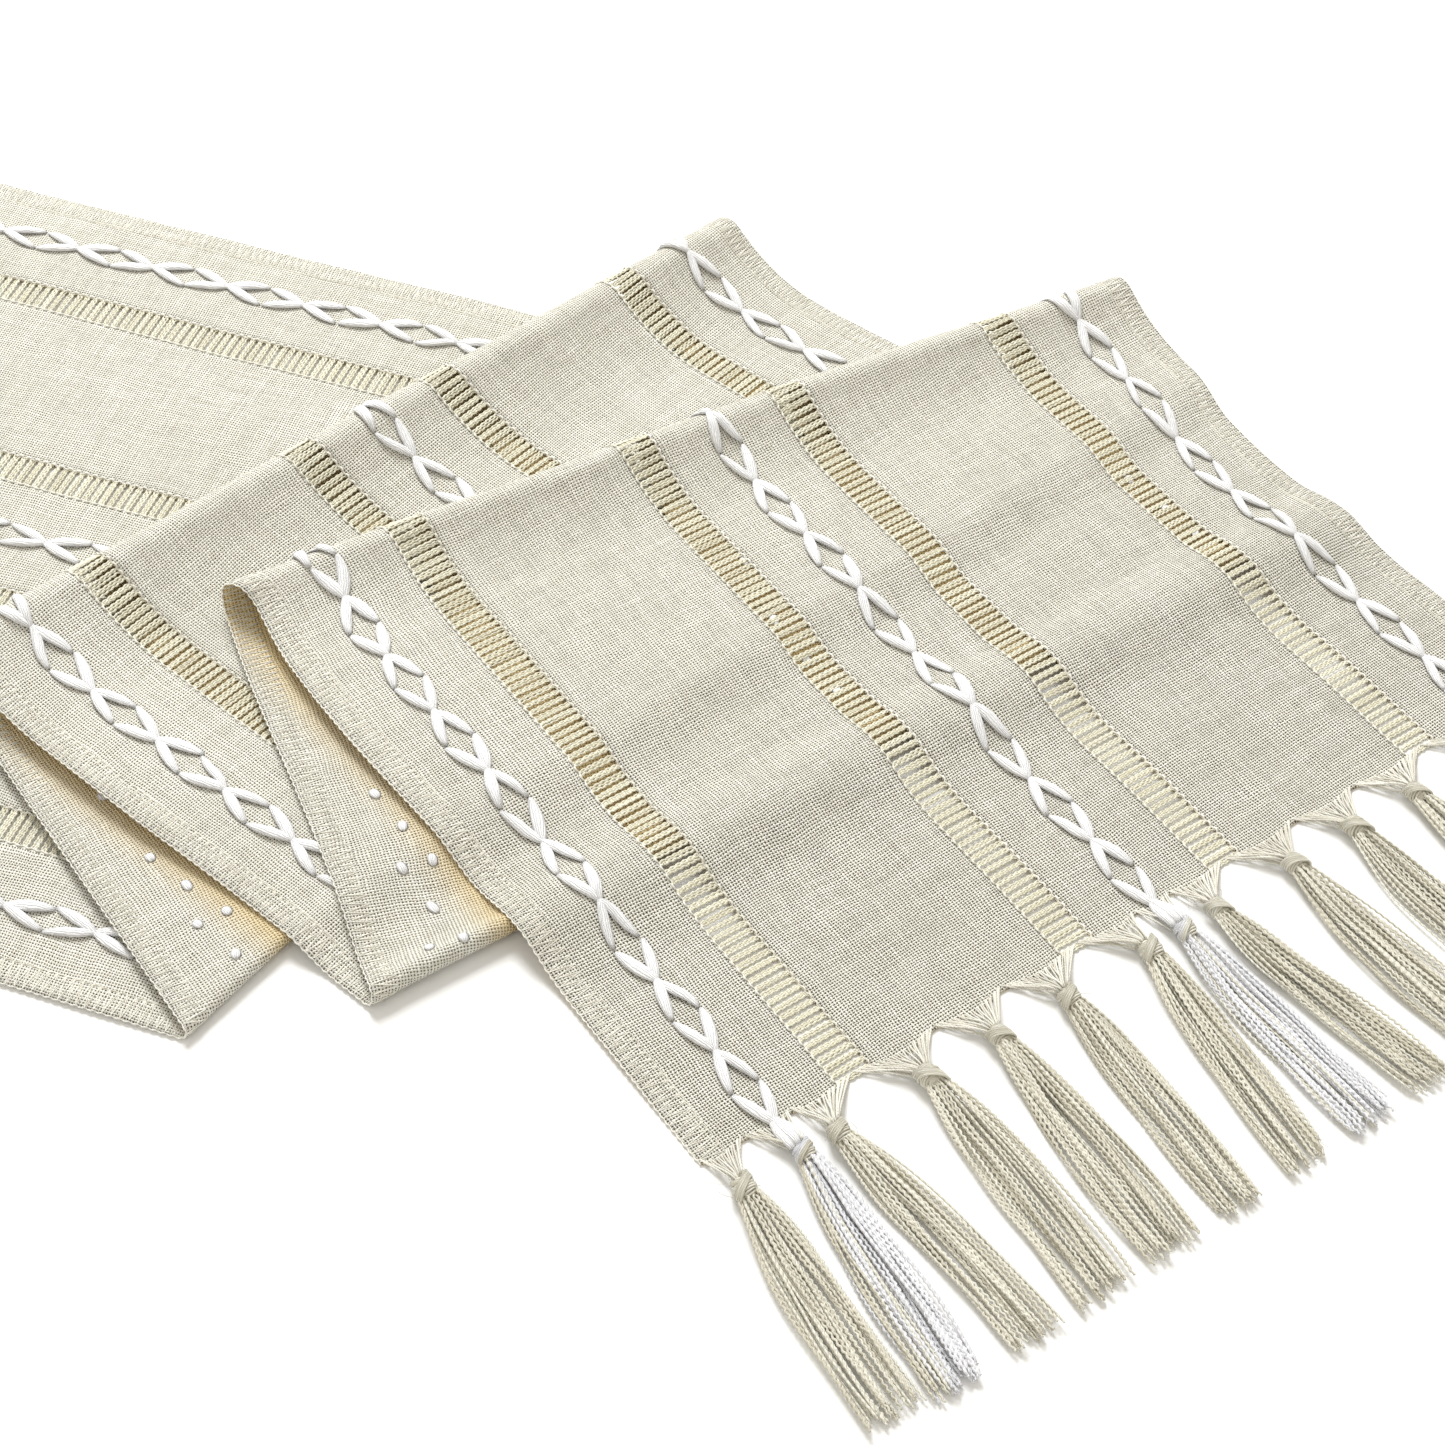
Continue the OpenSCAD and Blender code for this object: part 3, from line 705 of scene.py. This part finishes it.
def overcast(name, side):
    """Zig-zag stitching over a long edge: stitches on both faces, loops round the edge, a row inside."""
    pitch = ZIGZAG_PITCH
    count = int((LAST - FELL - 2) / pitch)
    v0 = FELL + 1 + np.arange(count) * pitch
    inner, outer = EDGE - EDGE_BAND + 0.6, EDGE + 0.15
    jitter = rng.normal(0, 0.14, (3, count))
    t = np.array([0.0, 0.2, 0.4, 0.6, 0.8, 0.93, 1.0])
    parts = []
    for face in (1, -1):
        lift = face * (HALF + np.array([0.0, 0.05, 0.06, 0.06, 0.05, -0.02, -0.3]))
        for start, end in ((0.0, 0.5), (0.97, 0.5)):
            u = inner + jitter[0][:, None] * (1 - t) + (outer - inner + jitter[1][:, None]) * t
            v = v0[:, None] + pitch * (start + (end - start) * t) + 0.2 * jitter[2][:, None] * t
            paths = np.stack([side * u, v, np.broadcast_to(lift, u.shape)], -1)
            parts.append(on_cloth(tubes(paths, 0.17, ident=rng.random(count) * 40)))
    t = np.arange(FELL + 1, LAST - 1, pitch / 5)
    beat = 2 * math.pi * (t - FELL) / pitch
    for at, reach, height, girth in (
        (EDGE + 0.15, 0.18, 0.0, 0.24),
        (EDGE - EDGE_BAND + 0.5, 0.1, HALF + 0.07, 0.17),
    ):
        path = np.stack([side * (at + reach * np.sin(beat)), t, height + 0.08 * np.cos(beat)], -1)[None]
        parts.append(on_cloth(tubes(path, girth, ident=[at])))
    return object_from(name + "es", *join(parts), STITCH, "cloth", "edge_thread", [name])


STRIPS = [
    ("left_border", -EDGE, -OUTER - LADDER),
    ("left_panel", -OUTER, -INNER - LADDER),
    ("centre_panel", -INNER, INNER),
    ("right_panel", INNER + LADDER, OUTER),
    ("right_border", OUTER + LADDER, EDGE),
]
woven = {name: strip(name, u0, u1) for name, u0, u1 in STRIPS}
ladders = {name: ladder(name, u0, u1) for name, (u0, u1) in LADDER_SIDES.items()}
hemstitch = rails("ladder_hemstitch")
edges = {
    "left_edge_stitch": overcast("left_edge_stitch", -1),
    "right_edge_stitch": overcast("right_edge_stitch", 1),
}

# ---------------------------------------------------------------- embroidery
SPAN = (LAST - FELL) / round((LAST - FELL) / REPEAT)
CROSSINGS = FELL + np.arange(int(round((LAST - FELL) / SPAN)) + 1) * SPAN


def underside(u, v):
    """1 where the petals face down between two layers and lie pressed flat, 0 elsewhere."""
    second = (past(u, v, CREST1) > -4) & (past(u, v, BOTTOM1) < 4)
    fourth = (past(u, v, CREST2) > -4) & (past(u, v, BOTTOM2) < 4)
    return (second | fourth).astype(float)


PRESSED = 0.5  # how much flatter the petals are on the underside


def petals(name, line_u, side):
    """One yarn of a line: plump petals between the crossings and the outer points."""
    t = np.linspace(0, 1, 13)
    parts = []
    for direction, starts in ((1, CROSSINGS[:-1]), (-1, CROSSINGS[1:])):
        count = len(starts)
        wander = rng.normal(0, 1, (6, count, 1))
        along = (-0.9 + wander[0] * 0.15) * (1 - t) + (SPAN / 2 - 0.35 + wander[1] * 0.2) * t
        out = -0.45 + (REACH + 0.35 + wander[2] * 0.2) * t + 0.35 * np.sin(math.pi * t)
        out = out + 0.15 * wander[3] * np.sin(2 * math.pi * t)
        u = line_u + side * out
        v = starts[:, None] + direction * along
        swell = np.sin(math.pi * np.clip(0.03 + 0.95 * t, 0, 1)) ** 0.72
        wide = (0.36 + 1.34 * swell) * (1 + 0.08 * wander[4])
        high = (0.30 + 0.72 * swell) * (1 + 0.06 * wander[5]) * (1 - PRESSED * underside(u, v))
        paths = np.stack([u, v, HALF + 0.02 + high * 0.92], -1)
        parts.append(on_cloth(tubes(paths, wide, high, 10, ident=rng.random(count) * 90)))
    t = np.linspace(0, 1, 7)
    count = len(CROSSINGS)
    arc = line_u + side * 0.12 + 1.15 * (2 * t - 1) + rng.normal(0, 0.05, (count, 1))
    v = CROSSINGS[:, None] + side * 0.35 + 0.3 * (2 * t - 1) + rng.normal(0, 0.12, (count, 1))
    n = HALF + 0.1 + (0.9 * np.sin(math.pi * t)) * (1 - PRESSED * underside(arc, v))
    ties = tubes(np.stack([arc, v, n], -1), 0.22, ident=rng.random(count) * 90)
    parts.append(on_cloth(ties))
    own_name = name.replace("petal_yarn", "petals")
    return object_from(own_name, *join(parts), WHITE, "cloth", "white_yarn", [name])


def back_stitches(name):
    """Short white stitches that show on the wrong side where the yarns pass through the cloth."""
    t = np.linspace(-1, 1, 7)
    parts = []
    for line_u in (-LINE_U, 0.0, LINE_U):
        for off, shift in ((-REACH, 0.5), (REACH, 0.5), (0.0, 0.0)):
            at = CROSSINGS[:-1] + shift * SPAN if shift else CROSSINGS[1:-1]
            count = len(at)
            jig = rng.normal(0, 1, (4, count, 1))
            u = line_u + off + 0.35 * jig[0] + 0.35 * jig[1] * t
            v = at[:, None] + 0.4 * jig[2] + (1.75 + 0.25 * jig[3]) * t
            n = np.broadcast_to(-HALF - 0.12 - 0.3 * (1 - t * t), u.shape)
            oval = np.sqrt(1 - 0.93 * t * t)
            wide, high = 0.3 + 1.2 * oval, 0.12 + 0.25 * oval
            paths = np.stack([u, v, n], -1)
            parts.append(on_cloth(tubes(paths, wide, high, 8, ident=rng.random(count) * 90)))
    return object_from(name, *join(parts), WHITE, "cloth", "white_yarn")


for line, line_u in (("left", -LINE_U), ("middle", 0.0), ("right", LINE_U)):
    for mark, side in (("a", -1), ("b", 1)):
        name = f"{line}_petal_yarn_{mark}"
        petals(name, line_u, side)
backs = back_stitches("petal_back_stitches")

# ---------------------------------------------------------------- fringe
KNOT_Z = 3.3  # height of the knots' middles
ABOVE_TABLE = 0.12
TASSEL_LENGTH = 77.0  # from knot to tip


def at_end(verts, rear):
    """From a fringe's own frame (knots on y = 0, cloth towards +y) to the shared frame, in millimetres."""
    x, y, z = verts[:, 0], verts[:, 1], np.maximum(verts[:, 2], ABOVE_TABLE)
    if not rear:
        return np.stack([x, y - FACE_OFFSET, z], -1)
    turn = REAR_TURN + math.pi
    return np.stack([
        REAR[0, 0] + x * math.cos(turn) - y * math.sin(turn),
        REAR[0, 1] + x * math.sin(turn) + y * math.cos(turn),
        z,
    ], -1)


WARP_STEP = 0.92
PAIRED = 0.14  # the warp ends leave the cloth in pairs, each moved this much towards the other


def warp_ends(knot, low, high):
    """The warp ends between low and high, drawn from the scalloped edge to a knot."""
    t = np.linspace(0, 1, 9)
    arch = np.sin(math.pi * t)
    count = max(12, int(round((high - low) / WARP_STEP)))
    alternate = np.where(np.arange(count) % 2, 1, -1)
    u = np.linspace(low + 0.35, high - 0.35, count) + rng.normal(0, 0.06, count) - PAIRED * alternate
    start_y = FELL + scallop(u, np.full(count, FELL), -1) + 1.2
    start_z = HALF + 0.3
    share = (u - knot) / max(knot - low, high - knot)
    end_x = knot + 2.0 * share + rng.normal(0, 0.2, count)
    end_z = KNOT_Z - 0.4 + 1.7 * alternate * rng.uniform(0.1, 1.0, count)
    end_y = 2.2 + rng.uniform(0, 0.8, count)
    e = 1 - (1 - t) ** 1.12
    x = u[:, None] * (1 - e) + end_x[:, None] * e + rng.normal(0, 0.16, (count, 1)) * arch
    y = start_y[:, None] * (1 - t) + end_y[:, None] * t
    z = start_z + (end_z[:, None] - start_z) * ease(t * 1.05) + 0.2 * arch
    girth = rng.uniform(0.25, 0.29, (count, 1)) * (1 + 0.12 * np.sin(9 * t + u[:, None] * 5))
    return tubes(np.stack([x, y, z], -1), girth, ident=rng.random(count) * 60)


def yarn_tails(i):
    """The three ends of white yarn that run from a line of embroidery into knot i."""
    t = np.linspace(0, 1, 9)
    line_u = MIXED[i]
    swell = np.sin(math.pi * np.clip(0.05 + 0.86 * t, 0, 1))
    girth = (0.75 + 0.72 * swell)[None]
    start_z, end_z = 1.2, KNOT_Z + 0.6
    tails = []
    for k, side in enumerate((-1, 0, 1)):
        outer = abs(side)
        x = line_u + side * (0.7 + 1.1 * ease(t * 1.6)) + (knot_u(i) - line_u) * t
        y = (FELL + 1.8) * (1 - t) + 2.1 * t
        z = start_z + 0.2 * (1 - outer) + (end_z - 0.4 * outer - start_z) * ease(t * 1.15)
        path = np.stack([x, y, z], -1)[None]
        tails.append(tubes(path, girth, 0.75 * girth, 10, ident=[i + k * 7.0]))
    return tails


def gathers(name, rear):
    """The drawn warp ends along one end of the cloth, and the white yarn between them."""
    knots, bounds = knot_lanes()
    verts, faces, coords = join([warp_ends(*lane) for lane in zip(knots, bounds, bounds[1:])])
    verts = at_end(verts, rear)
    web = object_from(name + "_web", verts, faces, coords, WARP_ENDS, "cloth", "fringe_thread", [name])
    verts, faces, coords = join([tail for i in MIXED for tail in yarn_tails(i)])
    verts = at_end(verts, rear)
    tails = object_from(name + "_yarn_tails", verts, faces, coords, WHITE, "cloth", "white_yarn")
    return web, tails


def lying_ring(radius, y, turn):
    """A ring of thread round the y axis, and the direction that its width keeps to."""
    path = np.stack([radius[0] * np.cos(turn), y, radius[1] * np.sin(turn)], -1)[None]
    radial = np.stack([np.cos(turn), 0 * turn, np.sin(turn)], -1)[None]
    return path, radial


KNOT_SIZE = np.array([0.75, 0.80, 0.66])  # the knot is worked out larger and then drawn tight
FINE_THREADS = np.array([0.2, 3.0, 1.0])  # scales a knot's thread coordinates, for finer threads


def knot_part(seed):
    """A firm overhand knot: a core, wraps round it that lean, and a band that crosses over them.

    Returns the half towards the cloth and the half towards the tassel."""
    own = np.random.default_rng(seed)
    size = KNOT_SIZE * own.uniform(0.94, 1.08)
    rows, columns = 10, 20
    ring, stack = np.meshgrid(
        np.linspace(0, 2 * math.pi, columns, endpoint=False), np.linspace(0.12, math.pi - 0.12, rows)
    )
    core = np.stack([
        3.15 * np.sin(stack) * np.cos(ring), 3.4 * np.cos(stack), 3.0 * np.sin(stack) * np.sin(ring)
    ], -1).reshape(-1, 3)
    faces = grid_faces(rows, columns, closed_columns=True)
    coords = np.stack([ring * 3, stack / math.pi, np.full_like(ring, seed)], -1).reshape(-1, 3)
    halves = [], [(core, faces, coords)]
    lean = own.uniform(0.7, 1.3) * own.choice([-1, 1])
    turn = np.linspace(0, 2 * math.pi, 27)
    for y0 in np.linspace(-2.9, 2.9, 8):
        r = 3.75 * math.sqrt(max(0.08, 1 - (y0 / 3.7) ** 2)) + own.uniform(-0.12, 0.12)
        path, radial = lying_ring((r, 0.93 * r), y0 + lean * np.sin(turn + own.uniform(-0.3, 0.3)), turn)
        halves[int(y0 < 0.3)].append(tubes(path, 0.52, sideways=radial, ident=[own.random() * 60]))
    turn = np.linspace(-0.12 * math.pi, 1.12 * math.pi, 19)
    for k in range(4):
        path, radial = lying_ring((4.15, 4.05), (k - 1.5) * 0.86 - lean * 2.3 * np.cos(turn), turn)
        path = path + np.array([0, 0, 0.15 * math.cos(k)])
        halves[int(k < 2)].append(tubes(path, 0.5, sideways=radial, ident=[own.random() * 60]))
    moved = []
    for half in halves:
        verts, faces, coords = join(half)
        moved.append((verts * size + np.array([0, 0, KNOT_Z]), faces, coords * FINE_THREADS))
    return moved


STRANDS = 42
POINTS = 170
STRAND_LENGTH = 72.5
FIRST_SHORTER = 3.0  # the first tassel is this much shorter
CRIMP_PITCH, CRIMP_HEIGHT = 2.1, 0.22


def skirt(i, seed):
    """Crimped strands that leave the knot in a bundle, spread, and lie flat on the table."""
    own = np.random.default_rng(seed)
    count = STRANDS

    def waves(low, high):
        """A slow wave along each strand, from low to high times."""
        return np.sin(2 * math.pi * (reach * own.uniform(low, high, (count, 1)) + own.random((count, 1))))

    lean = tip_u(i) - knot_u(i)
    t = np.linspace(0, 1, POINTS)
    across = np.linspace(-1, 1, count) + own.normal(0, 0.06, count)
    level = (own.permutation(count) / (count - 1))[:, None]
    length = STRAND_LENGTH + own.uniform(-2.6, 2.2, count)[:, None] - (FIRST_SHORTER if i == 0 else 0.0)
    stray = own.random(count) < 0.06
    run = length * t
    y = -1.5 - run
    reach = -y / TASSEL_LENGTH
    spread = 2.2 + 6.1 * (1 - np.exp(-3.8 * np.maximum(reach, 0))) - 1.2 * reach**3
    spread = spread + np.where(stray, own.uniform(0.5, 2.2, count), 0)[:, None] * reach**2
    bow = own.normal(0, 1.1)
    locks = 0.14 * np.sin(2 * math.pi * (own.uniform(0.8, 1.4) * across + own.random()))
    parted = across[:, None] + locks[:, None] * ease(reach * 1.6)
    free = ease(reach * 3)
    x = lean * reach**1.15 + bow * np.sin(math.pi * np.clip(reach, 0, 1)) + parted * spread
    x = x + 0.55 * waves(0.7, 1.6) * free
    thick = 3.6 - 1.3 * ease(reach * 1.4)
    round_bundle = np.sqrt(np.clip(1 - np.clip(across, -1, 1) ** 2, 0.05, 1))[:, None]
    centre = KNOT_Z - 0.2 - 1.5 * ease(reach * 3.2)
    z = centre + (level - 0.5) * thick * (round_bundle + (1 - round_bundle) * ease(reach * 2) * 0.35)
    z = z + 0.25 * waves(1, 2.2) * free
    phase = own.random((count, 1)) * 2 * math.pi
    beat = 2 * math.pi * run / CRIMP_PITCH * own.uniform(0.94, 1.06, (count, 1)) + phase
    tilt = own.uniform(0, math.pi, (count, 1))
    x = x + CRIMP_HEIGHT * np.sin(beat) * np.cos(tilt)
    z = z + CRIMP_HEIGHT * np.sin(beat) * np.sin(tilt)
    z = np.maximum(z, 0.45 + 0.12 * np.sin(beat))
    cut_end = np.where(t > 0.985, 0.75, 1.0)
    girth = own.uniform(0.33, 0.43, (count, 1)) * (1 + 0.10 * np.cos(beat + 1)) * cut_end
    return np.stack([x, y, z], -1), girth, own.random(count) * 80


def loose_fibres(i, seed):
    """A few hair-thin fibres that stand off round the knot and at the tip."""
    own = np.random.default_rng(seed)
    count = 12
    t = np.linspace(0, 1, 9)
    start_y = own.choice([-2.0, 1.5, -66.0, -71.0], count) + own.normal(0, 1.0, count)
    lean = tip_u(i) - knot_u(i)
    x0 = lean * np.clip(-start_y / TASSEL_LENGTH, 0, 1) + own.normal(0, 2.2, count)
    swing = own.normal(0, 2.6, (2, count, 1))
    reach = own.uniform(2.5, 6.0, (count, 1))
    x = x0[:, None] + swing[0] * t + 0.8 * np.sin(3 * t + swing[1])
    y = start_y[:, None] + np.where(start_y[:, None] < -10, -1, own.choice([-1, 1], (count, 1))) * reach * t
    z = 2.0 + 1.5 * own.random((count, 1)) * t
    return tubes(np.stack([x, y, z], -1), 0.07, 0.07, 4, ident=own.random(count) * 80)


WHITE_SWELL = 1.2  # the white strands are this much thicker


def tassel(end, i):
    """Tassel i of one end, counted from the cloth's left edge: a beige one is one piece, and a mixed one is
    its white strands and its beige strands."""
    rear = end == "rear"
    body = f"{end}_tassel_{i + 1:02d}"
    local = TASSELS - 1 - i if rear else i
    seed = 500 * rear + 31 * i + 5
    at = np.array([knot_u(local), 0, 0])
    cloth_side, tassel_side = knot_part(seed)
    paths, girth, ids = skirt(local, seed + 1)
    mixed = local in MIXED
    whiter = np.linspace(0.28, 1.10, STRANDS)
    white = np.random.default_rng(seed + 2).random(STRANDS) < (whiter if mixed else 0.0)
    for colour, picked, slot in ((WHITE_FRINGE, white, "white_yarn"), (FRINGE, ~white, "fringe_thread")):
        if not picked.any():
            continue
        main = colour is (WHITE_FRINGE if mixed else FRINGE)
        swell = WHITE_SWELL if colour is WHITE_FRINGE else 1.0
        parts = [tubes(paths[picked], swell * girth[picked], sides=4, ident=ids[picked])]
        if main:
            parts += [cloth_side, loose_fibres(local, seed + 3)]
        if colour is FRINGE:
            parts.append(tassel_side)
        verts, faces, coords = join(parts)
        verts = at_end(verts + at, rear)
        name = body + ("_strands" if main else "_mixed_strands")
        object_from(name, verts, faces, coords, colour, body, slot, [body] if main else ())


ends = [*gathers("front_gathers", False), *gathers("rear_gathers", True)]
for end in ("front", "rear"):
    for i in range(TASSELS):
        tassel(end, i)

# ---------------------------------------------------------------- floor and light


def plain(name, colour, roughness):
    """A material of one colour."""
    material = bpy.data.materials.new(name)
    material.use_nodes = True
    shader = material.node_tree.nodes["Principled BSDF"]
    shader.inputs["Base Color"].default_value = colour
    shader.inputs["Roughness"].default_value = roughness
    return material


bpy.ops.mesh.primitive_plane_add(size=8, location=(0, 0, -0.0002))
floor = bpy.context.active_object
floor.name = "floor"
floor.data.materials.append(plain("floor_paint", (0.93, 0.93, 0.925, 1), 0.9))

world = bpy.data.worlds.new("studio")
bpy.context.scene.world = world
world.use_nodes = True
world.node_tree.nodes["Background"].inputs["Color"].default_value = (1.0, 0.955, 0.87, 1)
world.node_tree.nodes["Background"].inputs["Strength"].default_value = 0.63


def soft_light(name, at, aim, size, energy, colour):
    """A square lamp at one point, turned towards another."""
    data = bpy.data.lights.new(name, "AREA")
    data.shape = "SQUARE"
    data.size = size
    data.energy = energy
    data.color = colour
    lamp = bpy.data.objects.new(name, data)
    bpy.context.scene.collection.objects.link(lamp)
    at, aim = np.array(at, float), np.array(aim, float)
    back = (at - aim) / np.linalg.norm(at - aim)
    right = np.cross([0, 0, 1], back)
    right /= np.linalg.norm(right)
    rows = np.eye(4)
    rows[:3, 0], rows[:3, 1], rows[:3, 2], rows[:3, 3] = right, np.cross(back, right), back, at
    lamp.matrix_world = Matrix(rows.tolist())


soft_light("key", (0.45, 1.6, 1.7), (0.0, 0.1, 0.0), 0.9, 56, (0.97, 0.985, 1.0))
soft_light("fill", (-1.3, -0.4, 1.6), (-0.05, 0.1, 0.0), 1.6, 4, (1.0, 1.0, 1.0))
bpy.context.scene.view_settings.view_transform = "Standard"
